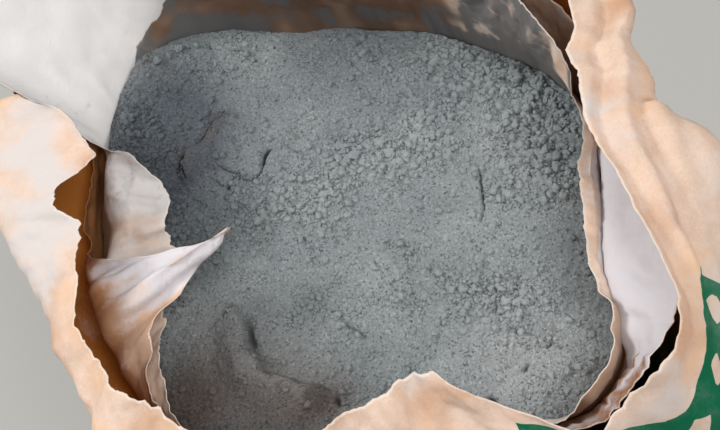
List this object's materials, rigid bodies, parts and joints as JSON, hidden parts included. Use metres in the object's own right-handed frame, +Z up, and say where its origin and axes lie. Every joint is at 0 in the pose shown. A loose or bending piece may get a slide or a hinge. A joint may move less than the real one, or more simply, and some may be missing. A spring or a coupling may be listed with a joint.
{
  "type": "open cement bag",
  "caption": "Opened paper sack of grey cement standing upright: torn kraft plies curl round the mouth and the powder fills it almost to the rim.",
  "frame": {"origin": "middle of the sack's flat underside, on the ground", "axes": "+Z up out of the mouth, wide printed face towards -Y, printed side face towards +X"},
  "size_m": [0.3611, 0.3963, 0.5934],
  "materials": {
    "kraft_outer": "matte kraft, dusty",
    "kraft_middle": "matte kraft",
    "kraft_inner": "matte kraft, thick with dust",
    "cement_powder": "loose grey powder"
  },
  "bodies": {
    "root": {"outer_ply": "kraft_outer", "middle_ply": "kraft_middle", "inner_ply": "kraft_inner", "cement_fill": "cement_powder"}
  },
  "joints": []
}
